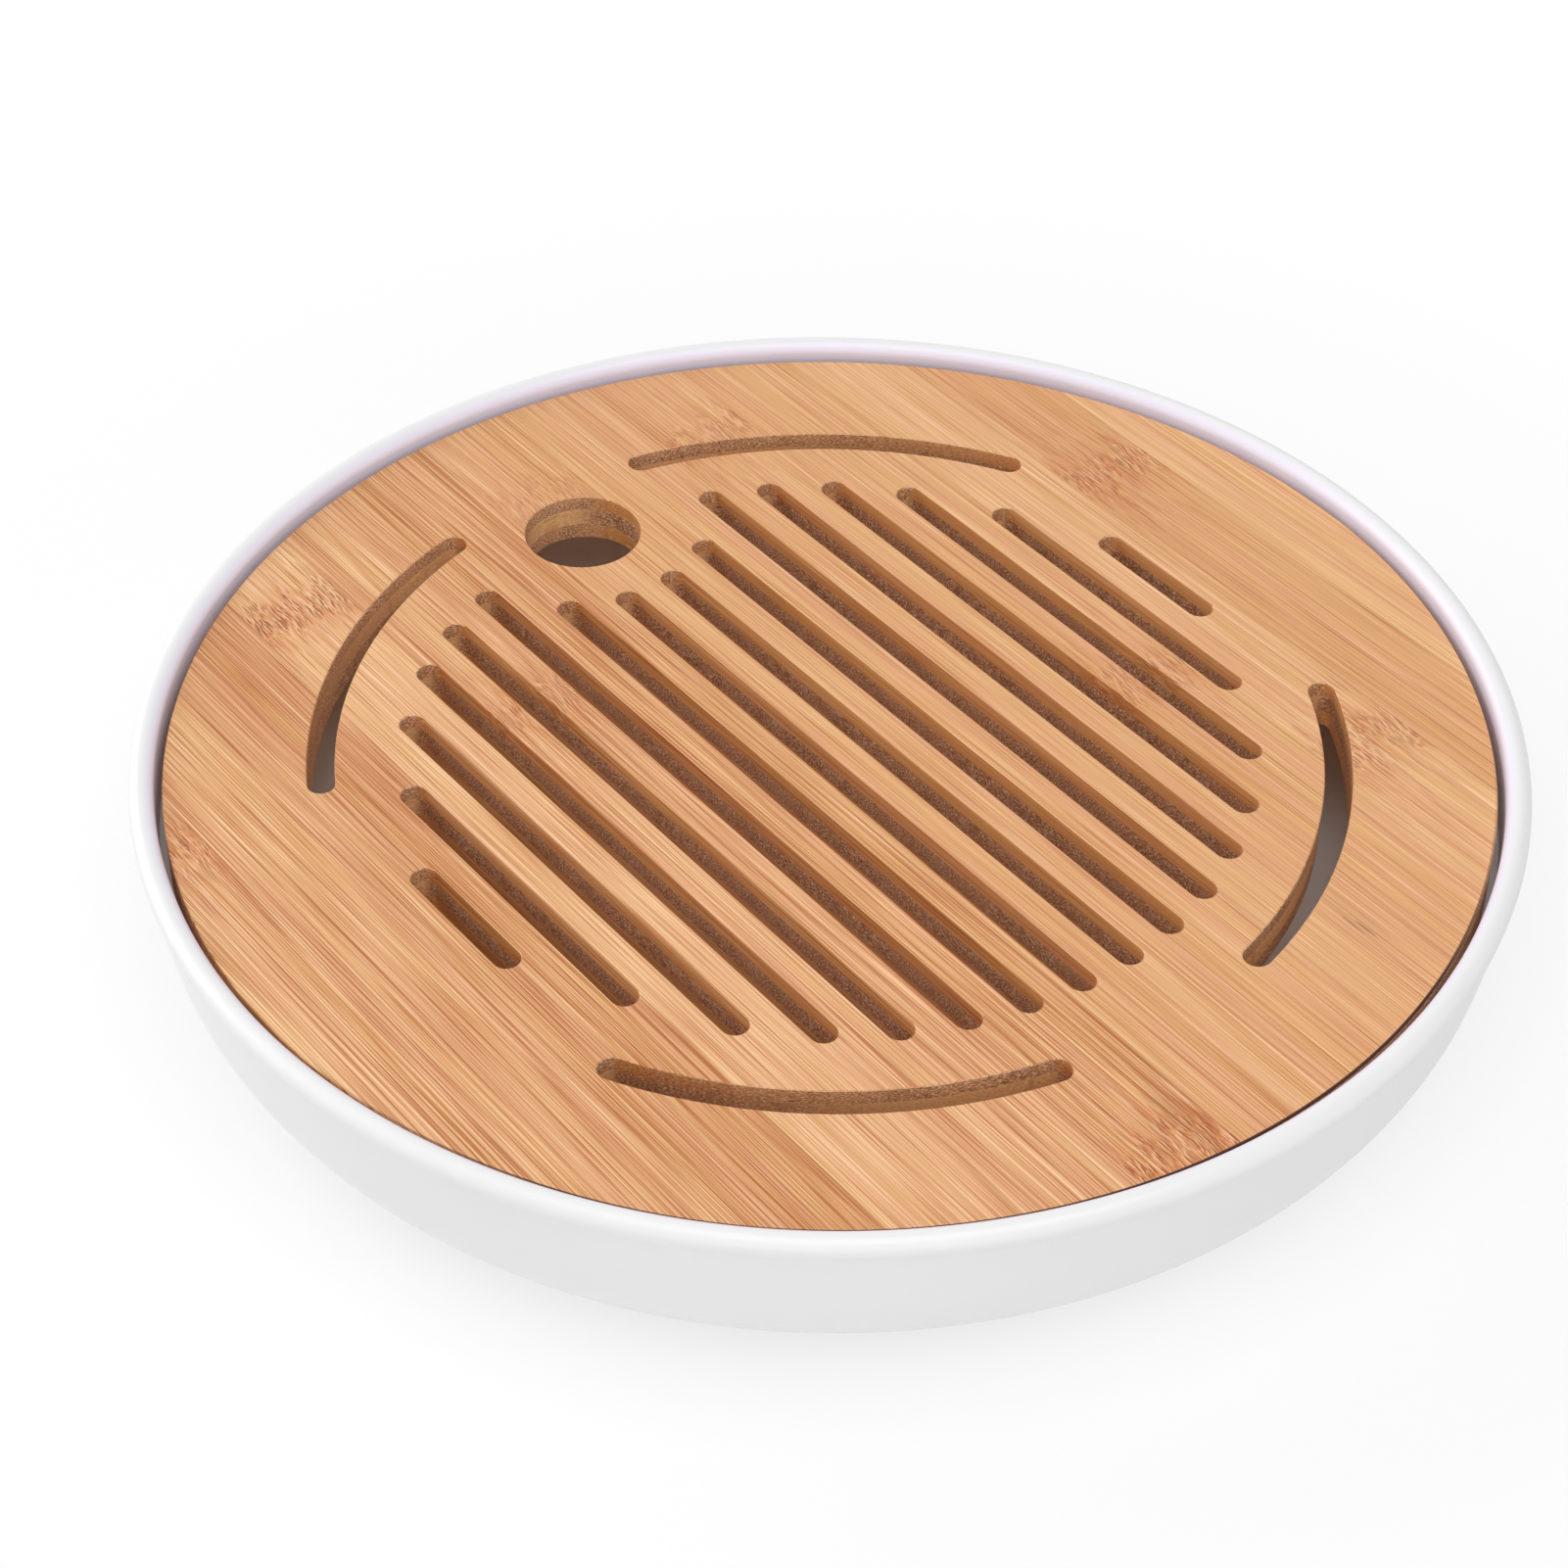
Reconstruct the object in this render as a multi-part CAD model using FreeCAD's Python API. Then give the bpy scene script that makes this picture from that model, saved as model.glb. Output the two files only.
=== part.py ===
import FreeCAD, Part
import math
import os

from FreeCAD import Vector

# Round tea tray in millimetres, +Z up, standing on z = 0 with its axis on the Z axis.
# A moulded basin catches the water, and a slotted bamboo panel lies in it and lifts out.
# The slots run along X, and the finger hole is on the -X side.

# Basin: rim and wall
rim_diameter = 280.0
tray_height = 45.0
bead_radius = 2.5           # the rim ends in a full round bead
bead_overhang = 0.8         # the bead stands out this far past the top of the wall
wall_lean_deg = 9.0         # the outside of the wall leans in towards the base
base_round = 30.0           # outside round between the wall and the base

# Basin: inside
floor_thickness = 3.4
ledge_width = 4.0           # step in the wall that carries the panel
ledge_edge_round = 0.8
well_draft_deg = 3.0        # the wall below the ledge leans in for moulding
well_round = 24.0           # inside round between that wall and the floor

# Basin: underside
foot_width = 9.0            # flat ring that stands on the table
foot_recess = 1.0           # the middle of the base is raised by this much
foot_slope = 3.0            # width of the slope from the ring to the raised middle

# Panel: a board of three plies, each of parallel bamboo strips glued edge to edge
panel_clearance = 1.5       # gap all round between the panel and the basin
panel_drop = 3.5            # the panel's face lies below the top of the rim
face_ply = 3.3
core_ply = 4.0
back_ply = 3.7
strip_width = 21.2
arris = 0.2                 # eased edges of the panel, the slots and the finger hole

# Straight slots: rows on one pitch, with their round ends on a circle
slot_width = 5.6
slot_pitch = 11.76
slot_end_circle = 168.6     # diameter through the centres of the slots' round ends
short_slot_length = 33.5    # the first and last row, just outside that circle

# Arc slots: one in each quarter, outside the straight ones
arc_slot_circle = 204.4     # diameter of their centreline
arc_slot_start_deg = 12.5   # from the X axis to the slot's tip
arc_slot_end_deg = 62.5

# Finger hole, and the rows that stop short of it
finger_hole_diameter = 25.0
finger_hole_offset = 86.2   # from the panel's centre
near_row_land = 9.9        # wood left between the hole and the two nearest rows
next_row_reach = 4.7        # the rows beside those come this much further

overrun = 5.0               # cutters reach this far past what they cut
round_limit_share = 0.95    # a round takes up no more than this share of the wall above it

# Sizes worked out from those above
rim_radius = rim_diameter / 2
bead_centre = (rim_radius - bead_radius, tray_height - bead_radius)
mouth_radius = rim_radius - 2 * bead_radius
panel_radius = mouth_radius - panel_clearance
panel_top = tray_height - panel_drop
face_bottom = panel_top - face_ply
core_bottom = face_bottom - core_ply
panel_bottom = core_bottom - back_ply
ledge_radius = mouth_radius - ledge_width
slot_radius = slot_width / 2
end_radius = slot_end_circle / 2
origin = Vector(0, 0, 0)
up = Vector(0, 0, 1)


def at(radius, height):
    """A point of a profile that turns about the Z axis."""
    return Vector(radius, 0, height)


def line(start, end):
    return Part.LineSegment(start, end).toShape()


def arc(start, middle, end):
    return Part.Arc(start, middle, end).toShape()


def rounded_wall(top, lean_deg, round_radius, floor):
    """Profile edges from a wall's top down a lean and a tangent round to the floor."""
    lean = math.radians(lean_deg)
    room = (top.z - floor) / (1 - math.sin(lean))
    round_radius = min(round_radius, round_limit_share * room)
    centre_z = floor + round_radius
    reach = (centre_z - top.z) * math.sin(lean) - round_radius
    centre_r = top.x + reach / math.cos(lean)

    def on_round(angle):
        return at(centre_r + round_radius * math.cos(angle), centre_z - round_radius * math.sin(angle))

    tangent = on_round(lean)
    middle = on_round((lean + math.pi / 2) / 2)
    foot = on_round(math.pi / 2)
    return [line(top, tangent), arc(tangent, middle, foot)], foot


def basin():
    """Moulded basin: one section with bead, wall, foot ring, ledge and well, turned once round."""
    bead_r, bead_z = bead_centre
    crease_r = rim_radius - bead_overhang
    crease_z = bead_z - math.sqrt(bead_radius ** 2 - (crease_r - bead_r) ** 2)
    crease = at(crease_r, crease_z)
    mouth = at(mouth_radius, bead_z)
    ledge_corner = at(mouth_radius, panel_bottom)
    ledge_edge = at(ledge_radius, panel_bottom)
    outside, outer_foot = rounded_wall(crease, wall_lean_deg, base_round, 0)
    inside, well_foot = rounded_wall(ledge_edge, well_draft_deg, well_round, floor_thickness)
    foot_inner = at(outer_foot.x - foot_width, 0)
    recess_edge = at(foot_inner.x - foot_slope, foot_recess)
    underside = [
        line(outer_foot, foot_inner),
        line(foot_inner, recess_edge),
        line(recess_edge, at(0, foot_recess)),
    ]
    rim = [
        arc(crease, at(bead_r, tray_height), mouth),
        line(mouth, ledge_corner),
        line(ledge_corner, ledge_edge),
    ]
    floor = [line(well_foot, at(0, floor_thickness)), line(at(0, floor_thickness), at(0, foot_recess))]
    section = Part.Wire(Part.__sortEdges__(outside + underside + rim + inside + floor))
    body = Part.Face(section).revolve(origin, up, 360)
    inner_edge = min(edges_at(body, panel_bottom), key=lambda edge: edge.Curve.Radius)
    return body.makeFillet(ledge_edge_round, [inner_edge])


def edges_at(shape, height):
    """Edges of a shape that lie flat at one height."""
    def lies_flat(edge):
        box = edge.BoundBox
        return max(abs(box.ZMin - height), abs(box.ZMax - height)) < arris / 2
    return [edge for edge in shape.Edges if lies_flat(edge)]


def straight_slot(left, right, row):
    """Outline of a slot along X between the centres of its two round ends."""
    low, high = row - slot_radius, row + slot_radius
    edges = [
        line(Vector(left, low, 0), Vector(right, low, 0)),
        arc(Vector(right, low, 0), Vector(right + slot_radius, row, 0), Vector(right, high, 0)),
        line(Vector(right, high, 0), Vector(left, high, 0)),
        arc(Vector(left, high, 0), Vector(left - slot_radius, row, 0), Vector(left, low, 0)),
    ]
    return Part.Wire(edges)


def slot_rows():
    """Left end, right end and Y of every straight slot."""
    hole_edge = -finger_hole_offset + finger_hole_diameter / 2
    near_left = hole_edge + near_row_land + slot_radius
    short_half = short_slot_length / 2 - slot_radius
    long_rows = math.ceil((end_radius - slot_radius) / slot_pitch - 1 / 2)
    rows = []
    for index in range(long_rows):
        y = (index + 1 / 2) * slot_pitch
        reach = math.sqrt(end_radius ** 2 - y ** 2)
        shortened = {0: -near_left, 1: -near_left + next_row_reach}
        left = -min(reach, shortened.get(index, reach))
        rows += [(left, reach, y), (left, reach, -y)]
    y = (long_rows + 1 / 2) * slot_pitch
    rows += [(-short_half, short_half, y), (-short_half, short_half, -y)]
    return rows


def arc_slot(side_x, side_y):
    """Outline of an arc slot about the panel's axis, in the quarter on these sides (+1 or -1)."""
    middle_radius = arc_slot_circle / 2
    tip = math.degrees(slot_radius / middle_radius)
    start, end = arc_slot_start_deg + tip, arc_slot_end_deg - tip

    def polar(radius, degrees):
        angle = math.radians(degrees)
        return Vector(side_x * radius * math.cos(angle), side_y * radius * math.sin(angle), 0)

    inner, outer = middle_radius - slot_radius, middle_radius + slot_radius
    centre = (start + end) / 2
    edges = [
        arc(polar(outer, start), polar(outer, centre), polar(outer, end)),
        arc(polar(outer, end), polar(middle_radius, end + tip), polar(inner, end)),
        arc(polar(inner, end), polar(inner, centre), polar(inner, start)),
        arc(polar(inner, start), polar(middle_radius, start - tip), polar(outer, start)),
    ]
    return Part.Wire(edges)


def panel_outline():
    """Flat face of the whole panel with every slot and the finger hole."""
    hole_centre = Vector(-finger_hole_offset, 0, 0)
    cuts = [straight_slot(*row) for row in slot_rows()]
    cuts += [arc_slot(x, y) for x in (1, -1) for y in (1, -1)]
    cuts.append(Part.Wire(Part.makeCircle(finger_hole_diameter / 2, hole_centre)))
    disc = Part.Face(Part.Wire(Part.makeCircle(panel_radius)))
    return disc.cut([Part.Face(wire) for wire in cuts]).Faces[0]


def ply(outline, bottom, thickness, eased_height=None):
    """One whole ply, with its edges eased at one height if it is an outer ply."""
    board = outline.extrude(up * thickness)
    board.translate(up * bottom)
    if eased_height is None:
        return board
    return board.makeChamfer(arris, edges_at(board, eased_height))


def strips(name, board, bottom, thickness, across=False):
    """Cut a ply into its strips, named from the middle out: along X, or along Y where they lie across."""
    low_side, high_side = ("left", "right") if across else ("front", "rear")
    reach = math.ceil((panel_radius - strip_width / 2) / strip_width)
    length = 2 * (panel_radius + overrun)
    height = thickness + 2 * overrun
    named = {}
    for index in range(-reach, reach + 1):
        corner = Vector(-length / 2, (index - 1 / 2) * strip_width, bottom - overrun)
        blank = Part.makeBox(length, strip_width, height, corner)
        if across:
            blank.rotate(origin, up, -90)
        side = high_side if index > 0 else low_side
        label = f"{side}_{abs(index)}" if index else "centre"
        named[f"{name}_{label}"] = board.common(blank)
    return named


def panel():
    """All the strips of the panel by name: the core lies across the face and the back."""
    outline = panel_outline()
    face = ply(outline, face_bottom, face_ply, panel_top)
    core = ply(outline, core_bottom, core_ply)
    back = ply(outline, panel_bottom, back_ply, panel_bottom)
    named = strips("face_strip", face, face_bottom, face_ply)
    named.update(strips("core_strip", core, core_bottom, core_ply, across=True))
    named.update(strips("back_strip", back, panel_bottom, back_ply))
    return named


def main():
    nodes = {"basin": basin()}
    nodes.update(panel())
    os.makedirs("parts", exist_ok=True)
    for name, shape in nodes.items():
        shape.exportStep(f"parts/{name}.step")
        print(name, "solids", len(shape.Solids), "valid", shape.isValid(), "volume", round(shape.Volume, 1))


main()
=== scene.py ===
# %% [markdown]
# A round tea tray: a white moulded basin with a slotted bamboo panel lying in it. Tea is poured over the
# cups, runs through the slots and stays in the basin until the panel is lifted out by its finger hole. The
# CAD model is loaded first as a fixed frame. Every strip of the panel keeps its CAD mesh and gets a bamboo
# finish here, and the basin gets a finer turned mesh in the same place.

# %% Load the frame
import math
import random

import bpy
from mathutils import Matrix, Vector


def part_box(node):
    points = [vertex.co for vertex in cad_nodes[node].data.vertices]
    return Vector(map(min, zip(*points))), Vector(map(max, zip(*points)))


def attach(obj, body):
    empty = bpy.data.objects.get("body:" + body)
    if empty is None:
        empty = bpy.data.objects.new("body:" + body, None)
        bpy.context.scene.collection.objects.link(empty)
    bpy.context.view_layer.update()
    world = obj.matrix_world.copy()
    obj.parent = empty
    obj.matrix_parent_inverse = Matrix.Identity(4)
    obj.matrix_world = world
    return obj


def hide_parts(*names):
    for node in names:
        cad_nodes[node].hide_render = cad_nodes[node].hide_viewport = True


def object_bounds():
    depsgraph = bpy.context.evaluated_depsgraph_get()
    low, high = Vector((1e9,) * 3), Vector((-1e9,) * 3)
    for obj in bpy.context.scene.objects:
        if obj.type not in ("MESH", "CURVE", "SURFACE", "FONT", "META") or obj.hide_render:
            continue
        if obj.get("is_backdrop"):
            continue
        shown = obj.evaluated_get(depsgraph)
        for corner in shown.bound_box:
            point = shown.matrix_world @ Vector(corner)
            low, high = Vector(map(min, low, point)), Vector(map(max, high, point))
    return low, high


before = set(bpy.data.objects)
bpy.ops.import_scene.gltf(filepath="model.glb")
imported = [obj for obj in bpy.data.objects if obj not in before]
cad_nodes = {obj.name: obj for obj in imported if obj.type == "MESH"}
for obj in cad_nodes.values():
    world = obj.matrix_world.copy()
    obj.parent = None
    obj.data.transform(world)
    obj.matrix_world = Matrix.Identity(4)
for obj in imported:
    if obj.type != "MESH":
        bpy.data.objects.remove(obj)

mm = 0.001
cad_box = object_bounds()
cad_size = [round(side / mm, 1) for side in cad_box[1] - cad_box[0]]
print("CAD nodes:", len(cad_nodes), "in a box of", cad_size, "mm")

# %% [markdown]
# Both the shapes and the finishes below are node trees. Writing a tree by hand takes two lines for each
# node, so one helper makes a node, sets its options and fills its inputs: a value is written into the
# socket, and another node's output is linked to it. Colours are written as they look on a screen, and
# the last helper turns them into the linear values that shaders use.

# %% Helpers for node trees

# Noise stays near 0.5: nearly all of it lies in the first range, and most of it in the second
noise_range, noise_core = (0.3, 0.7), (0.35, 0.65)


def add(tree, kind, inputs=None, **options):
    """A new node, with its options set and its inputs filled or linked."""
    node = tree.nodes.new(kind)
    for name, value in options.items():
        setattr(node, name, value)
    for socket, value in (inputs or {}).items():
        if isinstance(value, bpy.types.NodeSocket):
            tree.links.new(value, node.inputs[socket])
        else:
            node.inputs[socket].default_value = value
    return node


def new_group(name, kind, inputs, outputs):
    """A node group with named sockets, and its input and output nodes."""
    tree = bpy.data.node_groups.new(name, kind)
    for label, socket in inputs:
        tree.interface.new_socket(label, in_out="INPUT", socket_type=socket)
    for label, socket in outputs:
        tree.interface.new_socket(label, in_out="OUTPUT", socket_type=socket)
    given = tree.nodes.new("NodeGroupInput").outputs
    result = tree.nodes.new("NodeGroupOutput").inputs
    return tree, given, result


def shader_math(tree, operation, *values):
    return add(tree, "ShaderNodeMath", dict(enumerate(values)), operation=operation).outputs[0]


def weighted(tree, value, weight, rest):
    """The rest plus the value times its weight."""
    return shader_math(tree, "MULTIPLY_ADD", value, weight, rest)


def vector_math(tree, operation, *values):
    node = add(tree, "ShaderNodeVectorMath", dict(enumerate(values)), operation=operation)
    return node.outputs["Value" if operation in ("LENGTH", "DOT_PRODUCT") else "Vector"]


def part_along(tree, vector, axis):
    return add(tree, "ShaderNodeSeparateXYZ", {0: vector}).outputs[axis]


def ramp_value(tree, value, low, high, out_low=0.0, out_high=1.0):
    """Map a value smoothly from one range to another, and hold it at the ends."""
    inputs = {"Value": value, "From Min": low, "From Max": high, "To Min": out_low, "To Max": out_high}
    return add(tree, "ShaderNodeMapRange", inputs, interpolation_type="SMOOTHSTEP").outputs["Result"]


def mix_colour(tree, share, first, second, blend="MIX"):
    """Blend two colours. For colours the Mix node uses its inputs 0, 6 and 7, and its output 2."""
    inputs = {0: share, 6: first, 7: second}
    return add(tree, "ShaderNodeMix", inputs, data_type="RGBA", blend_type=blend).outputs[2]


def srgb(red, green, blue):
    """A colour as it looks on a screen, from 0 to 255, turned into the linear values that shaders use."""
    def linear(channel):
        share = channel / 255
        return share / 12.92 if share <= 0.04045 else ((share + 0.055) / 1.055) ** 2.4
    return (linear(red), linear(green), linear(blue), 1.0)


print("grey 128 on a screen is", round(srgb(128, 128, 128)[0], 3), "in linear light")

# %% [markdown]
# The basin is moulded in one piece and is round, so one section turned about the axis gives all of it:
# foot ring, curved wall, beaded rim, the ledge that carries the panel, and the well. The section could be
# drawn as a curve by hand, but then no size could be changed by itself. So it is worked out from named
# sizes, with a few corners and an arc for each round.

# %% The basin's section, in metres from the axis and the table

rim_radius = cad_box[1].x
tray_height = cad_box[1].z
panel_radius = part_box("face_strip_centre")[1].x
panel_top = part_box("face_strip_centre")[1].z
panel_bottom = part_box("back_strip_centre")[0].z
bead_radius = 2.5 * mm
bead_overhang = 0.8 * mm
wall_lean = math.radians(9)
base_round = 30 * mm
floor_thickness = 3.4 * mm
ledge_width = 4 * mm
ledge_edge_round = 0.8 * mm
well_draft = math.radians(3)
well_round = 24 * mm
foot_width = 9 * mm
foot_recess = 1 * mm
foot_slope = 3 * mm
mouth_radius = rim_radius - 2 * bead_radius
ledge_radius = mouth_radius - ledge_width
base_steps, bead_steps, edge_steps, well_steps = 40, 40, 8, 32


def round_points(centre, radius, start, end, steps):
    """Points on a round of the section, by angle from straight outwards, counted upwards."""
    angles = [start + (end - start) * step / steps for step in range(steps + 1)]
    return [(centre[0] + radius * math.cos(a), centre[1] + radius * math.sin(a)) for a in angles]


def round_centre(top, lean, radius, floor):
    """Centre of the round that joins a leaning wall through a point to a level floor."""
    height = floor + radius
    return top[0] + ((height - top[1]) * math.sin(lean) - radius) / math.cos(lean), height


def basin_section():
    bead = (rim_radius - bead_radius, tray_height - bead_radius)
    crease_angle = -math.acos((rim_radius - bead_overhang - bead[0]) / bead_radius)
    crease = round_points(bead, bead_radius, crease_angle, crease_angle, 1)[0]
    base = round_centre(crease, wall_lean, base_round, 0)
    ledge = (ledge_radius, panel_bottom)
    well = round_centre(ledge, well_draft, well_round, floor_thickness)
    edge = (ledge_radius + ledge_edge_round, panel_bottom - ledge_edge_round)
    foot_inner = base[0] - foot_width
    points = [(0, foot_recess), (foot_inner - foot_slope, foot_recess), (foot_inner, 0)]
    points += round_points(base, base_round, -math.pi / 2, -wall_lean, base_steps)
    points += round_points(bead, bead_radius, crease_angle, math.pi, bead_steps)
    points += [(mouth_radius, panel_bottom)]
    points += round_points(edge, ledge_edge_round, math.pi / 2, math.pi, edge_steps)
    points += round_points(well, well_round, -well_draft, -math.pi / 2, well_steps)
    points += [(0, floor_thickness)]
    return points


section = basin_section()
print("basin section:", len(section), "points")

# %% [markdown]
# The Spin operator or a Screw modifier would turn the section, but a small Geometry Nodes tree shows how
# turning works: a grid with one row for each point of the section and one column for each step round the
# axis takes its radius and height from the row, and its angle from the column. Welding closes the seam and
# the two poles. The result becomes a plain mesh, because the export reads meshes and not modifiers.

# %% The tree that turns a section about the axis

weld_distance = 0.002 * mm


def turning_tree():
    sockets = [("Section", "NodeSocketGeometry"), ("Steps", "NodeSocketInt"),
               ("Material", "NodeSocketMaterial")]
    made = [("Mesh", "NodeSocketGeometry")]
    tree, given, result = new_group("turned section", "GeometryNodeTree", sockets, made)

    def whole(operation, first, second):
        return add(tree, "FunctionNodeIntegerMath", {0: first, 1: second}, operation=operation).outputs[0]

    count = add(tree, "GeometryNodeAttributeDomainSize", {0: given["Section"]}).outputs["Point Count"]
    columns = whole("ADD", given["Steps"], 1)
    grid = add(tree, "GeometryNodeMeshGrid", {"Vertices X": columns, "Vertices Y": count}).outputs["Mesh"]
    index = add(tree, "GeometryNodeInputIndex").outputs[0]
    row = whole("MODULO", index, count)
    column = whole("DIVIDE", index, count)
    place = add(tree, "GeometryNodeInputPosition").outputs[0]
    sample = add(tree, "GeometryNodeSampleIndex", {0: given["Section"]}, data_type="FLOAT_VECTOR",
                 domain="POINT")
    tree.links.new(place, sample.inputs["Value"])
    tree.links.new(row, sample.inputs["Index"])
    turn = shader_math(tree, "DIVIDE", column, given["Steps"])
    angle = shader_math(tree, "MULTIPLY", turn, math.tau)
    turned = add(tree, "ShaderNodeVectorRotate", {"Vector": sample.outputs["Value"], "Angle": angle},
                 rotation_type="Z_AXIS").outputs[0]
    shaped = add(tree, "GeometryNodeSetPosition", {"Geometry": grid, "Position": turned}).outputs[0]
    welding = {"Geometry": shaped, "Distance": weld_distance}
    welded = add(tree, "GeometryNodeMergeByDistance", welding).outputs[0]
    flipped = add(tree, "GeometryNodeFlipFaces", {"Mesh": welded}).outputs[0]
    smooth = add(tree, "GeometryNodeSetShadeSmooth", {"Geometry": flipped, "Shade Smooth": True}).outputs[0]
    real = add(tree, "GeometryNodeRealizeInstances", {"Geometry": smooth}).outputs[0]
    coating = {"Geometry": real, "Material": given["Material"]}
    tree.links.new(add(tree, "GeometryNodeSetMaterial", coating).outputs[0], result["Mesh"])
    return tree


def set_input(modifier, name, value):
    """A modifier keeps its inputs under the sockets' identifiers, not their names."""
    for item in modifier.node_group.interface.items_tree:
        if item.name == name and item.in_out == "INPUT":
            modifier[item.identifier] = value


def turned_piece(name, points, steps, material, sharp_deg):
    """Turn a section into a plain mesh object at the origin."""
    outline = bpy.data.meshes.new(name + "_section")
    outline.from_pydata([(r, 0, z) for r, z in points], [(i, i + 1) for i in range(len(points) - 1)], [])
    piece = bpy.data.objects.new(name, outline)
    bpy.context.scene.collection.objects.link(piece)
    modifier = piece.modifiers.new("turned", "NODES")
    modifier.node_group = turning
    set_input(modifier, "Steps", steps)
    set_input(modifier, "Material", material)
    graph = bpy.context.evaluated_depsgraph_get()
    mesh = bpy.data.meshes.new_from_object(piece.evaluated_get(graph))
    piece.modifiers.clear()
    piece.data = mesh
    mesh.set_sharp_from_angle(angle=math.radians(sharp_deg))
    print(name, "has", len(mesh.polygons), "faces")
    return piece


turning = turning_tree()
print("tree:", turning.name, "with", len(turning.nodes), "nodes")

# %% [markdown]
# The basin's white is a hard, smooth moulding compound with a gloss. A plain white shader would do, but a
# real moulding is never perfectly even: its gloss varies a little, and long shallow waves bend the
# reflections on the rim. Noise on Object coordinates gives both. The short wall above the panel gets a
# faint lilac cast and the well a faint cream one: painted shade, standing in for the colour that this
# white takes in deep shade. Which side of the wall a point is on follows from the way it faces.

# %% Finish of the basin

level_plane = (1, 1, 0)    # a vector times this loses its height
inward_range = (-0.1, -0.9)    # facing outwards is 1, and facing the axis is -1
well_range, well_fade = (0.0, 0.6), 1 * mm
white_low, white_high = srgb(233, 233, 233), srgb(237, 237, 237)
# the lilac and the cream are painted shade: casts that stand in for the colour of this white in deep shade
painted_shade_lilac, painted_shade_cream = srgb(236, 233, 250), srgb(244, 240, 237)
smoothest, roughest = 0.29, 0.35
cloud_scale, wave_scale = 25.0, 30.0    # changes a metre
cloud_detail, wave_detail = 3.0, 0.0
wave_height = 0.4 * mm
wave_strength = 0.04
basin_steps, basin_sharp_deg = 384, 30


def white_moulding():
    material = bpy.data.materials.new("white_moulding")
    material.use_nodes = True
    tree = material.node_tree
    shader = tree.nodes["Principled BSDF"]
    coords = add(tree, "ShaderNodeTexCoord").outputs
    outwards = vector_math(tree, "NORMALIZE", vector_math(tree, "MULTIPLY", coords["Object"], level_plane))
    facing = vector_math(tree, "DOT_PRODUCT", outwards, coords["Normal"])
    inwards = ramp_value(tree, facing, *inward_range)
    upwards = part_along(tree, coords["Normal"], "Z")
    height = part_along(tree, coords["Object"], "Z")
    below = ramp_value(tree, height, panel_bottom + well_fade, panel_bottom - well_fade)
    well = shader_math(tree, "MULTIPLY", below, shader_math(tree, "MAXIMUM", inwards, upwards))
    cloudy = {"Vector": coords["Object"], "Scale": cloud_scale, "Detail": cloud_detail}
    cloud = add(tree, "ShaderNodeTexNoise", cloudy).outputs[0]
    tone = mix_colour(tree, cloud, white_low, white_high)
    # painted shade: the inner wall and the well take casts that stand in for the colour of deep shade
    tone = mix_colour(tree, inwards, tone, painted_shade_lilac)
    tone = mix_colour(tree, ramp_value(tree, well, *well_range), tone, painted_shade_cream)
    tree.links.new(tone, shader.inputs["Base Color"])
    roughness = ramp_value(tree, cloud, *noise_range, smoothest, roughest)
    tree.links.new(roughness, shader.inputs["Roughness"])
    wavy = {"Vector": coords["Object"], "Scale": wave_scale, "Detail": wave_detail}
    wave = add(tree, "ShaderNodeTexNoise", wavy).outputs[0]
    relief = {"Strength": wave_strength, "Distance": wave_height, "Height": wave}
    tree.links.new(add(tree, "ShaderNodeBump", relief).outputs[0], shader.inputs["Normal"])
    return material


basin = turned_piece("basin_shell", section, basin_steps, white_moulding(), basin_sharp_deg)
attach(basin, "basin")
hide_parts("basin")

# %% [markdown]
# Bamboo is a bundle of straight fibres. Along the fibres the colour hardly changes, and across them it
# changes every few tenths of a millimetre. A photograph of a board would show that, but only for one
# board, so noise that is stretched some hundred times along the grain makes the hairs instead. Single
# bundles show as thin lines with pointed ends: dark veins, pale threads, and short dashes where the saw
# cut a bundle at a slant. The middles of Voronoi cells, stretched the same way, give all three. One group
# holds this for all three plies, with the grain along its X axis. A number called Lines says how strongly
# the hairs show.

# %% Group: bamboo fibres

# Changes a metre, along the grain and across it
broad_bands, hairs, finest_hairs = (3, 90), (6, 3000), (30, 4400)
veins, threads, saw_dashes = (8, 1900), (7, 2400), (80, 1800)
dash_patches, warm_bands = (9, 45), (4, 230)
plain_detail, ragged_detail = 1.0, 2.0
# Shares of the space between the lines, and of a line that shows fully
vein_size, thread_size, dash_size, full_share = 0.27, 0.24, 0.30, 0.6
# What each adds to the level, from which the ramp of tones makes the colour
middle_level, broad_weight, hair_weight, finest_weight = 0.395, 0.20, 0.5, 1.2
vein_weight, thread_weight, dash_weight = -0.06, 0.06, -0.1
least_contrast, lines_contrast = 0.35, 1.1
patch_range = (0.46, 0.66)
bamboo_dull, bamboo_smooth = 0.58, 0.46
bamboo_tones = ((0.20, (178, 110, 64)), (0.36, (205, 145, 98)), (0.50, (219, 165, 119)),
                (0.64, (227, 175, 130)), (0.82, (245, 203, 160)))
pink_tint, yellow_tint = srgb(255, 251, 250), srgb(255, 255, 243)
# How far one unit of the seed moves the hairs and the lines, in metres
hair_step, line_step = (0.731, 0.317, 0.119), (0.213, 0.477, 0.641)


def stretched(tree, place, changes):
    along, across = changes
    return vector_math(tree, "MULTIPLY", place, (along, across, across))


def grain_noise(tree, place, changes, detail=plain_detail):
    inputs = {"Vector": stretched(tree, place, changes), "Scale": 1.0, "Detail": detail}
    return add(tree, "ShaderNodeTexNoise", inputs).outputs[0]


def grain_dashes(tree, place, changes, size):
    """A mask of dashes along the grain; the size is a share of the space between them."""
    inputs = {"Vector": stretched(tree, place, changes), "Scale": 1.0}
    away = add(tree, "ShaderNodeTexVoronoi", inputs).outputs["Distance"]
    return ramp_value(tree, away, size, full_share * size)


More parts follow.
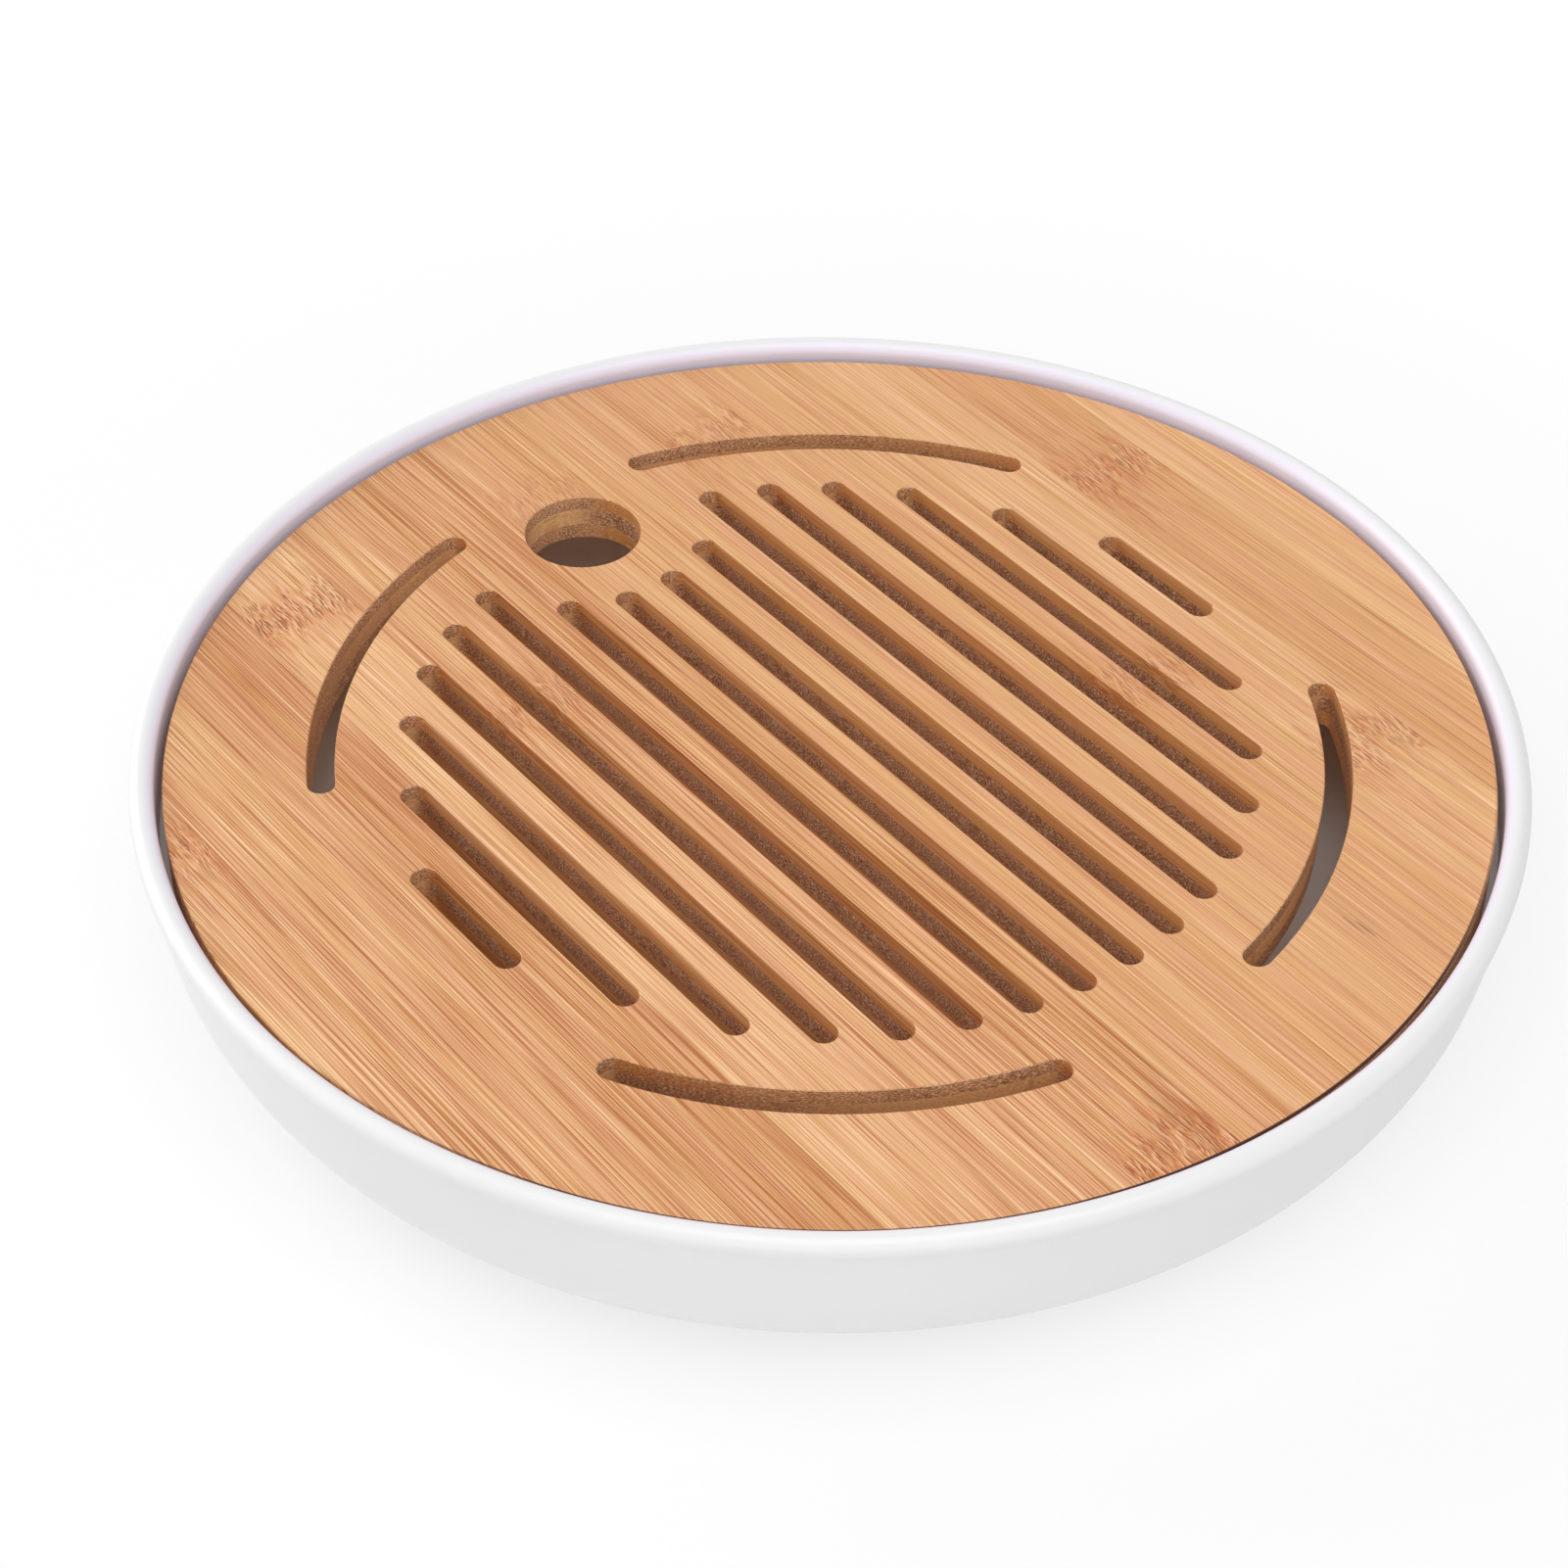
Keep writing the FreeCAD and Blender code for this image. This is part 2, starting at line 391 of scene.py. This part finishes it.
def seeded_place(tree, given, step):
    """The coordinates moved by the seed, so that no two strips show the same piece of grain."""
    seed = add(tree, "ShaderNodeCombineXYZ", {axis: given["Seed"] for axis in range(3)}).outputs[0]
    return vector_math(tree, "MULTIPLY_ADD", seed, step, given["Coordinates"])


def colour_ramp(tree, value, stops):
    """A ramp through colours given as they look on a screen."""
    ramp = add(tree, "ShaderNodeValToRGB", {"Fac": value})
    elements = ramp.color_ramp.elements
    while len(elements) < len(stops):
        elements.new(0.5)
    for element, (position, colour) in zip(elements, stops):
        element.position = position
        element.color = srgb(*colour)
    return ramp.outputs["Color"]


def fibre_group():
    sockets = [("Coordinates", "NodeSocketVector"), ("Seed", "NodeSocketFloat"), ("Tone", "NodeSocketFloat"),
               ("Lines", "NodeSocketFloat")]
    made = [("Color", "NodeSocketColor"), ("Roughness", "NodeSocketFloat"), ("Height", "NodeSocketFloat")]
    tree, given, result = new_group("bamboo fibres", "ShaderNodeTree", sockets, made)
    place = seeded_place(tree, given, hair_step)
    moved = seeded_place(tree, given, line_step)
    broad = grain_noise(tree, place, broad_bands)
    middle = -(hair_weight + finest_weight) / 2    # keeps the mean of the hairs at no change
    fibre = weighted(tree, grain_noise(tree, place, hairs), hair_weight, middle)
    fibre = weighted(tree, grain_noise(tree, place, finest_hairs), finest_weight, fibre)
    fibre = weighted(tree, grain_dashes(tree, place, veins, vein_size), vein_weight, fibre)
    fibre = weighted(tree, grain_dashes(tree, moved, threads, thread_size), thread_weight, fibre)
    contrast = weighted(tree, given["Lines"], lines_contrast, least_contrast)
    level = weighted(tree, broad, broad_weight, given["Tone"])
    level = shader_math(tree, "ADD", level, middle_level)
    level = weighted(tree, fibre, contrast, level)
    patches = ramp_value(tree, grain_noise(tree, place, dash_patches), *patch_range)
    dashes = grain_dashes(tree, moved, saw_dashes, dash_size)
    dashes = shader_math(tree, "MULTIPLY", dashes, given["Lines"])
    level = weighted(tree, shader_math(tree, "MULTIPLY", dashes, patches), dash_weight, level)
    colour = colour_ramp(tree, level, bamboo_tones)
    warmth = ramp_value(tree, grain_noise(tree, moved, warm_bands), *noise_core)
    tint = mix_colour(tree, warmth, pink_tint, yellow_tint)
    tree.links.new(mix_colour(tree, 1.0, colour, tint, "MULTIPLY"), result["Color"])
    roughness = ramp_value(tree, broad, *noise_range, bamboo_dull, bamboo_smooth)
    tree.links.new(roughness, result["Roughness"])
    tree.links.new(level, result["Height"])
    return tree


def tell(group):
    print("group:", group.name, "with", len(group.nodes), "nodes")
    return group


fibres = tell(fibre_group())

# %% [markdown]
# A bamboo cane has a knuckle every 20 or 30 cm. In a sawn strip it shows as a ragged reddish band across
# the strip, where the fibres twist: short dark dashes with pale slivers beside them, and longer dashes
# that fan out on both sides. Each strip is its own piece, so the band stops at the strip's edges. A
# painted patch would lie on top of the grain. The group bends the coordinates inside the band instead, so
# that the fibres themselves bend there, and gives masks for the red tint, the dark dashes and the pale
# slivers.

# %% Group: bamboo knuckle

# Changes a metre, along the grain and across it
ragged_edge, twisting, red_clouds = (30, 260), (90, 200), (70, 500)
short_dashes, fanned_dashes = (220, 2000), (90, 1500)
raggedness, twist_reach = 8 * mm, 1.2 * mm
# Half widths along the strip, where each effect starts and where it is full
band_reach, zone_reach, halo_reach = (9 * mm, 3 * mm), (15 * mm, 4 * mm), (34 * mm, 8 * mm)
sliver_shift = (0.7 * mm, 0.24 * mm, 0.0)
short_size, fanned_size, sliver_size = 0.48, 0.38, 0.42
short_share, fanned_share, sliver_share, least_red = 0.85, 0.45, 0.6, 0.2
knuckle_step = (0.377, 0.593, 0.271)


def knuckle_group():
    sockets = [("Coordinates", "NodeSocketVector"), ("Seed", "NodeSocketFloat"), ("Place", "NodeSocketFloat"),
               ("Strength", "NodeSocketFloat")]
    made = [("Coordinates", "NodeSocketVector"), ("Red", "NodeSocketFloat"), ("Dark", "NodeSocketFloat"),
            ("Pale", "NodeSocketFloat")]
    tree, given, result = new_group("bamboo knuckle", "ShaderNodeTree", sockets, made)
    place = seeded_place(tree, given, knuckle_step)
    away = shader_math(tree, "SUBTRACT", part_along(tree, given["Coordinates"], "X"), given["Place"])
    ragged = weighted(tree, grain_noise(tree, place, ragged_edge, ragged_detail), 2 * raggedness, -raggedness)
    away = shader_math(tree, "ABSOLUTE", shader_math(tree, "ADD", away, ragged))
    band = ramp_value(tree, away, *band_reach, 0.0, given["Strength"])
    zone = ramp_value(tree, away, *zone_reach, 0.0, given["Strength"])
    halo = ramp_value(tree, away, *halo_reach, 0.0, given["Strength"])
    twist = weighted(tree, grain_noise(tree, place, twisting), 2 * twist_reach, -twist_reach)
    twist = shader_math(tree, "MULTIPLY", twist, band)
    shift = add(tree, "ShaderNodeCombineXYZ", {1: twist, 2: twist}).outputs[0]
    bent = vector_math(tree, "ADD", given["Coordinates"], shift)
    short = shader_math(tree, "MULTIPLY", grain_dashes(tree, bent, short_dashes, short_size), band)
    fanned = shader_math(tree, "MULTIPLY", grain_dashes(tree, place, fanned_dashes, fanned_size), halo)
    beside = vector_math(tree, "ADD", bent, sliver_shift)
    slivers = shader_math(tree, "MULTIPLY", grain_dashes(tree, beside, short_dashes, sliver_size), band)
    red = grain_noise(tree, bent, red_clouds, ragged_detail)
    red = ramp_value(tree, red, *noise_core, least_red, 1.0)
    fanned = shader_math(tree, "MULTIPLY", fanned, fanned_share)
    dark = shader_math(tree, "MAXIMUM", fanned, shader_math(tree, "MULTIPLY", short, short_share))
    tree.links.new(bent, result["Coordinates"])
    tree.links.new(shader_math(tree, "MULTIPLY", red, zone), result["Red"])
    tree.links.new(dark, result["Dark"])
    tree.links.new(shader_math(tree, "MULTIPLY", slivers, sliver_share), result["Pale"])
    return tree


knuckle = tell(knuckle_group())

# %% [markdown]
# Where a cutter goes across the fibres, the end grain is duller: it soaks up oil, and the ends of the
# fibre bundles show as pale and dark specks. The slots cut the core across its grain, and the finger hole
# cuts all three plies. The walls could get a material of their own, but a round hole turns from end grain
# to long grain without an edge. So how far a surface faces along the grain says how much end grain it
# shows.

# %% Group: end grain

speck_changes = (60, 2000, 4000)    # a metre, along the grain, across it and upwards
speck_detail = 1.5
oil_clouds = (25, 200)
oil_range, pale_range, dark_range = (0.35, 0.75), (0.54, 0.66), (0.48, 0.36)
oil_share, pale_share, dark_share = 0.4, 0.8, 0.7
end_range = (0.35, 0.95)    # how far a surface faces along the grain, from no end grain to all
end_step = (0.159, 0.823, 0.447)
oiled_brown, pale_speck, dark_speck = srgb(148, 96, 58), srgb(246, 220, 188), srgb(92, 44, 20)


def end_grain_group():
    sockets = [("Coordinates", "NodeSocketVector"), ("Seed", "NodeSocketFloat"),
               ("Facing", "NodeSocketFloat"), ("Color", "NodeSocketColor"), ("Cut", "NodeSocketColor")]
    made = [("Color", "NodeSocketColor")]
    tree, given, result = new_group("bamboo end grain", "ShaderNodeTree", sockets, made)
    place = seeded_place(tree, given, end_step)
    speckled = vector_math(tree, "MULTIPLY", place, speck_changes)
    inputs = {"Vector": speckled, "Scale": 1.0, "Detail": speck_detail}
    specks = add(tree, "ShaderNodeTexNoise", inputs).outputs[0]
    cloud = grain_noise(tree, place, oil_clouds, ragged_detail)
    oil = ramp_value(tree, cloud, *oil_range, 0.0, oil_share)
    pale = ramp_value(tree, specks, *pale_range, 0.0, pale_share)
    dark = ramp_value(tree, specks, *dark_range, 0.0, dark_share)
    colour = mix_colour(tree, oil, given["Cut"], oiled_brown)
    colour = mix_colour(tree, pale, colour, pale_speck)
    colour = mix_colour(tree, dark, colour, dark_speck)
    share = ramp_value(tree, shader_math(tree, "ABSOLUTE", given["Facing"]), *end_range)
    tree.links.new(mix_colour(tree, share, given["Color"], colour), result["Color"])
    return tree


end_grain = tell(end_grain_group())

# %% [markdown]
# Where a cane was bruised or lay damp, a few bundles are stained dark. The photograph shows two such
# places. A brown blot would look like a spill, so the stain follows the fibres: a soft patch round the
# place keeps a few long dashes, and lets a faint shade through between them.

# %% Group: stained fibres

stain_length, stain_width = 14 * mm, 3.2 * mm    # half of the patch, along the grain and across it
patch_fade = (1.0, 0.3)    # shares of the patch, from its edge to where it is full
stained_bundles, bundle_size = (80, 1000), 0.30
bundle_share, shade_share = 0.55, 0.10


def stain_group():
    sockets = [("Coordinates", "NodeSocketVector"), ("Place", "NodeSocketVector")]
    tree, given, result = new_group("bamboo stain", "ShaderNodeTree", sockets, [("Mask", "NodeSocketFloat")])
    away = vector_math(tree, "SUBTRACT", given["Coordinates"], given["Place"])
    away = vector_math(tree, "MULTIPLY", away, (1 / stain_length, 1 / stain_width, 0))
    patch = ramp_value(tree, vector_math(tree, "LENGTH", away), *patch_fade)
    bundles = grain_dashes(tree, given["Coordinates"], stained_bundles, bundle_size)
    streaks = weighted(tree, bundles, bundle_share, shade_share)
    tree.links.new(shader_math(tree, "MULTIPLY", streaks, patch), result["Mask"])
    return tree


stain = tell(stain_group())

# %% [markdown]
# The edge of the round panel is sanded to a small arris. On the front, a thin dark line is painted just
# inside the white rim: painted shade, standing in for the shadow in the narrow gap between the panel and
# the rim. The line crosses many strips, so the mask is worked out from the panel's radius and top, and
# every strip uses the same one.

# %% Group: painted shade at the panel's edge

arris_inner, arris_outer = panel_radius - 0.6 * mm, panel_radius - 0.4 * mm
arris_low, arris_high = panel_top - 0.5 * mm, panel_top - 0.3 * mm
# painted shade: the dark line shows only on the front side of the panel's edge
shaded_side, shaded_range = (0.95, -0.31, 0), (0.3, 0.8)    # the front, and how far a point lies that way


def edge_shade_group():
    sockets = [("Coordinates", "NodeSocketVector")]
    tree, given, result = new_group("panel edge shade", "ShaderNodeTree", sockets, [("Mask", "NodeSocketFloat")])
    away = vector_math(tree, "LENGTH", vector_math(tree, "MULTIPLY", given["Coordinates"], level_plane))
    ring = ramp_value(tree, away, arris_inner, arris_outer)
    height = ramp_value(tree, part_along(tree, given["Coordinates"], "Z"), arris_low, arris_high)
    side = vector_math(tree, "NORMALIZE", given["Coordinates"])
    side = ramp_value(tree, vector_math(tree, "DOT_PRODUCT", side, shaded_side), *shaded_range)
    edge = shader_math(tree, "MULTIPLY", ring, height)
    tree.links.new(shader_math(tree, "MULTIPLY", edge, side), result["Mask"])
    return tree


arris = tell(edge_shade_group())

# %% [markdown]
# Every strip of a board comes from another cane, so one material for the whole board would run its grain
# across the joints. Each strip gets a material of its own instead, built from the same groups with its own
# seed and tone. A thin dark line along the strip's two edges is the glue joint, and the walls of the slots
# are a little browner than the sanded face.

# %% Finish of one bamboo strip

knuckle_red, knuckle_pale, knuckle_dark = srgb(204, 124, 70), srgb(248, 212, 168), srgb(150, 70, 30)
red_share = 0.48
# the last of these is painted shade, a dark line standing in for the shadow in the gap at the rim
stain_brown, glue_brown, edge_shade_brown = srgb(104, 72, 48), srgb(150, 92, 56), srgb(62, 28, 16)
glue_width, glue_share = 0.3 * mm, 0.3
wall_range = (0.6, 0.2)    # how far a surface faces up or down, from the face to a wall
bamboo_sheen = 0.35
grain_strength, grain_depth = 0.25, 0.05 * mm


def placed_group(tree, group, inputs):
    return add(tree, "ShaderNodeGroup", inputs, node_tree=group).outputs


def bamboo_strip(name, across, centre, half_width, seed, tone, lines, cut, wall, knuckle_mark, stain_place):
    """Material for a strip whose grain runs along X, or along Y where it lies across X."""
    material = bpy.data.materials.new(name)
    material.use_nodes = True
    tree = material.node_tree
    shader = tree.nodes["Principled BSDF"]
    coords = add(tree, "ShaderNodeTexCoord").outputs
    turn = (0, 0, 0) if across == "Y" else (0, 0, -math.pi / 2)
    place = add(tree, "ShaderNodeMapping", {"Vector": coords["Object"], "Rotation": turn}).outputs[0]
    facing = add(tree, "ShaderNodeMapping", {"Vector": coords["Normal"], "Rotation": turn}).outputs[0]
    marks = None
    if knuckle_mark:
        along, strength = knuckle_mark
        inputs = {"Coordinates": place, "Seed": seed, "Place": along, "Strength": strength}
        marks = placed_group(tree, knuckle, inputs)
        place = marks["Coordinates"]
    wood = placed_group(tree, fibres, {"Coordinates": place, "Seed": seed, "Tone": tone, "Lines": lines})
    colour = wood["Color"]
    if marks:
        colour = mix_colour(tree, shader_math(tree, "MULTIPLY", marks["Red"], red_share), colour, knuckle_red)
        colour = mix_colour(tree, marks["Pale"], colour, knuckle_pale)
        colour = mix_colour(tree, marks["Dark"], colour, knuckle_dark)
    if stain_place:
        mask = placed_group(tree, stain, {"Coordinates": place, "Place": stain_place})["Mask"]
        colour = mix_colour(tree, mask, colour, stain_brown)
    side = shader_math(tree, "SUBTRACT", part_along(tree, coords["Object"], across), centre)
    edge = shader_math(tree, "ABSOLUTE", side)
    joint = ramp_value(tree, edge, half_width - glue_width, half_width, 0.0, glue_share)
    colour = mix_colour(tree, joint, colour, glue_brown)
    upwards = shader_math(tree, "ABSOLUTE", part_along(tree, coords["Normal"], "Z"))
    colour = mix_colour(tree, ramp_value(tree, upwards, *wall_range), colour, wall, "MULTIPLY")
    ends = {"Coordinates": place, "Seed": seed, "Facing": part_along(tree, facing, "X"), "Color": colour,
            "Cut": cut}
    colour = placed_group(tree, end_grain, ends)["Color"]
    # painted shade: a thin dark line at the front of the panel's edge, for the shadow in the gap at the rim
    mask = placed_group(tree, arris, {"Coordinates": coords["Object"]})["Mask"]
    tree.links.new(mix_colour(tree, mask, colour, edge_shade_brown), shader.inputs["Base Color"])
    tree.links.new(wood["Roughness"], shader.inputs["Roughness"])
    shader.inputs["Specular IOR Level"].default_value = bamboo_sheen
    relief = {"Strength": grain_strength, "Distance": grain_depth, "Height": wood["Height"]}
    tree.links.new(add(tree, "ShaderNodeBump", relief).outputs[0], shader.inputs["Normal"])
    return material


strip_groups = (fibres, knuckle, stain, end_grain, arris)
print("a strip's finish is built from:", ", ".join(group.name for group in strip_groups))

# %% [markdown]
# What the photograph shows of single strips is written down here by the strip's name: where a knuckle or a
# stain lies along it, and whether it is paler or darker than its neighbours. The rest is drawn at random
# from a fixed seed, so that every run gives the same board. The front strips have stronger hairs, the core
# is the palest ply, and the back strips, which the photograph hides, get a knuckle anywhere.

# %% Give every strip its bamboo

knuckles = {    # place along the strip, and how strongly it shows
    "face_strip_front_6": (-49 * mm, 0.8), "face_strip_front_3": (-101 * mm, 1.0),
    "face_strip_front_2": (-44 * mm, 0.7), "face_strip_front_1": (128 * mm, 1.0),
    "face_strip_centre": (-101 * mm, 0.45), "face_strip_rear_2": (-98 * mm, 0.6),
    "face_strip_rear_3": (25 * mm, 0.7), "face_strip_rear_4": (67 * mm, 0.8),
    "face_strip_rear_5": (-34 * mm, 0.9),
}
stains = {"face_strip_rear_2": (102 * mm, 47 * mm, 0), "face_strip_front_1": (122 * mm, -15 * mm, 0)}
strip_tones = {
    "face_strip_front_4": -0.10, "face_strip_front_3": 0.12, "face_strip_front_1": -0.06,
    "face_strip_rear_1": -0.02, "face_strip_rear_4": 0.10, "face_strip_rear_6": 0.10,
}
ply_tones = {"face": 0.0, "core": 0.22, "back": 0.12}
core_cut, face_cut = srgb(200, 142, 102), srgb(216, 160, 114)
core_wall, face_wall = srgb(255, 252, 240), srgb(252, 235, 207)
seed_range, tone_range = (0, 9), (-0.02, 0.02)
front_lines, other_lines = (0.8, 1.05), (0.35, 0.55)
back_range, back_strength = (-0.9, 0.9), 0.8    # a back knuckle's place, as a share of the panel's radius
board_seed = 7
draw = random.Random(board_seed)
strips = sorted(node for node in cad_nodes if node != "basin")
for name in strips:
    ply = name.split("_")[0]
    across = "X" if ply == "core" else "Y"
    low, high = (getattr(corner, across.lower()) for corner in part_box(name))
    seed = draw.uniform(*seed_range)
    tone = draw.uniform(*tone_range) + strip_tones.get(name, 0.0) + ply_tones[ply]
    mark = knuckles.get(name)
    if ply == "back":
        mark = (draw.uniform(*back_range) * panel_radius, back_strength)
    lines = draw.uniform(*front_lines) if "front" in name else draw.uniform(*other_lines)
    cut, wall = (core_cut, core_wall) if ply == "core" else (face_cut, face_wall)
    material = bamboo_strip("bamboo_" + name, across, (low + high) / 2, (high - low) / 2, seed, tone, lines,
                            cut, wall, mark, stains.get(name))
    slots = cad_nodes[name].data.materials
    slots.clear()
    slots.append(material)
print("bamboo strips finished:", len(strips))

# %% [markdown]
# The tray stands on a plain white table under soft light from all round, with three large soft boxes: one
# above, one in front at the right and one at the left. One sun would draw hard shadows in the slots. The
# sky is plain white where the camera or a gloss sees it, and dimmer for the light that it gives. The table
# turns to plain white away from the tray, so that it has no horizon, and keeps the soft shadow near it.

# %% Table, sky and lamps

white = (1, 1, 1, 1)
sky_level = 0.39
table_reach = 4.0
table_white = srgb(243, 243, 243)
table_roughness = 0.8
glow_near, glow_end = 0.72, 2.2 * rim_radius    # share of glow at the rim, and where it is all glow
soft_boxes = {    # place and size in metres, power in watts
    "soft_box_above": ((0.40, -0.18, 1.34), 1.4, 11.4),
    "soft_box_front": ((1.10, -0.85, 0.45), 1.2, 3.4),
    "soft_box_left": ((-1.2, -0.5, 0.5), 1.2, 9.4),
}


def seen_directly(tree):
    """1 for rays from the camera, from gloss and through glass, and 0 for the light that falls on things."""
    path = add(tree, "ShaderNodeLightPath").outputs
    shown = shader_math(tree, "MAXIMUM", path["Is Camera Ray"], path["Is Glossy Ray"])
    return shader_math(tree, "MAXIMUM", shown, path["Is Transmission Ray"])


def white_sky():
    world = bpy.data.worlds.new("white_sky")
    world.use_nodes = True
    tree = world.node_tree
    backdrop = tree.nodes["Background"]
    backdrop.inputs["Color"].default_value = white
    strength = ramp_value(tree, seen_directly(tree), 0.0, 1.0, sky_level, 1.0)
    tree.links.new(strength, backdrop.inputs["Strength"])
    bpy.context.scene.world = world


def table_finish():
    material = bpy.data.materials.new("white_table")
    material.use_nodes = True
    tree = material.node_tree
    matt = tree.nodes["Principled BSDF"]
    matt.inputs["Base Color"].default_value = table_white
    matt.inputs["Roughness"].default_value = table_roughness
    glow = add(tree, "ShaderNodeEmission", {"Color": white, "Strength": 1.0}).outputs[0]
    away = vector_math(tree, "LENGTH", add(tree, "ShaderNodeTexCoord").outputs["Object"])
    fade = ramp_value(tree, away, rim_radius, glow_end, glow_near, 1.0)
    share = shader_math(tree, "MULTIPLY", fade, seen_directly(tree))
    mixed = add(tree, "ShaderNodeMixShader", {0: share, 1: matt.outputs[0], 2: glow}).outputs[0]
    tree.links.new(mixed, tree.nodes["Material Output"].inputs["Surface"])
    return material


def white_table(reach):
    corners = [(-reach, -reach, 0), (reach, -reach, 0), (reach, reach, 0), (-reach, reach, 0)]
    mesh = bpy.data.meshes.new("table")
    mesh.from_pydata(corners, [], [(0, 1, 2, 3)])
    mesh.materials.append(table_finish())
    table = bpy.data.objects.new("table", mesh)
    bpy.context.scene.collection.objects.link(table)
    table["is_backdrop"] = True


def soft_box(name, place, size, watts):
    """A round lamp that looks at the tray."""
    lamp = bpy.data.lights.new(name, "AREA")
    lamp.shape = "DISK"
    lamp.size = size
    lamp.energy = watts
    holder = bpy.data.objects.new(name, lamp)
    holder.location = place
    holder.rotation_euler = (-Vector(place)).to_track_quat("-Z", "Y").to_euler()
    bpy.context.scene.collection.objects.link(holder)
    print(name, "of", watts, "W at", place)


white_sky()
white_table(table_reach)
for name, (place, size, watts) in soft_boxes.items():
    soft_box(name, place, size, watts)

# %% [markdown]
# The camera stands where the photograph's did. Its place could be tried by eye, but the straight rows of
# slots, the round panel and the rim fix its direction, its distance and its lens, so it was fitted to them.
# The image is square, and the sensor's width is the frame's width.

# %% Camera

image_pixels = 1601
focal_pixels = 3704
sensor_width = 36
camera_place = Vector((435.7, -350.6, 513.7)) * mm
camera_azimuth = math.radians(52.11)
camera_elevation = math.radians(40.93)
camera_roll = math.radians(0.46)


def place_camera():
    camera = bpy.data.cameras.new("camera")
    camera.sensor_width = sensor_width
    camera.lens = sensor_width * focal_pixels / image_pixels
    holder = bpy.data.objects.new("camera", camera)
    flat = math.cos(camera_elevation)
    back = Vector((math.sin(camera_azimuth) * flat, -math.cos(camera_azimuth) * flat,
                   math.sin(camera_elevation)))
    right = Vector((math.cos(camera_azimuth), math.sin(camera_azimuth), 0))
    upright = Matrix((right, back.cross(right), back)).transposed()
    turned = upright @ Matrix.Rotation(camera_roll, 3, "Z")
    holder.matrix_world = Matrix.Translation(camera_place) @ turned.to_4x4()
    bpy.context.scene.collection.objects.link(holder)
    bpy.context.scene.camera = holder
    print("lens:", round(camera.lens, 1), "mm, at", round(camera_place.length, 3), "m from the tray's middle")


place_camera()
bpy.context.scene.view_settings.view_transform = "Standard"

# %% [markdown]
# The looks should leave the tray's size as it is, so the CAD box and the finished box are compared, and the
# largest move of a corner is printed.

# %% Sizes

growth = max((new - old).length for new, old in zip(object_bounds(), cad_box))
print("the box's corners moved by at most", round(growth / mm, 4), "mm")
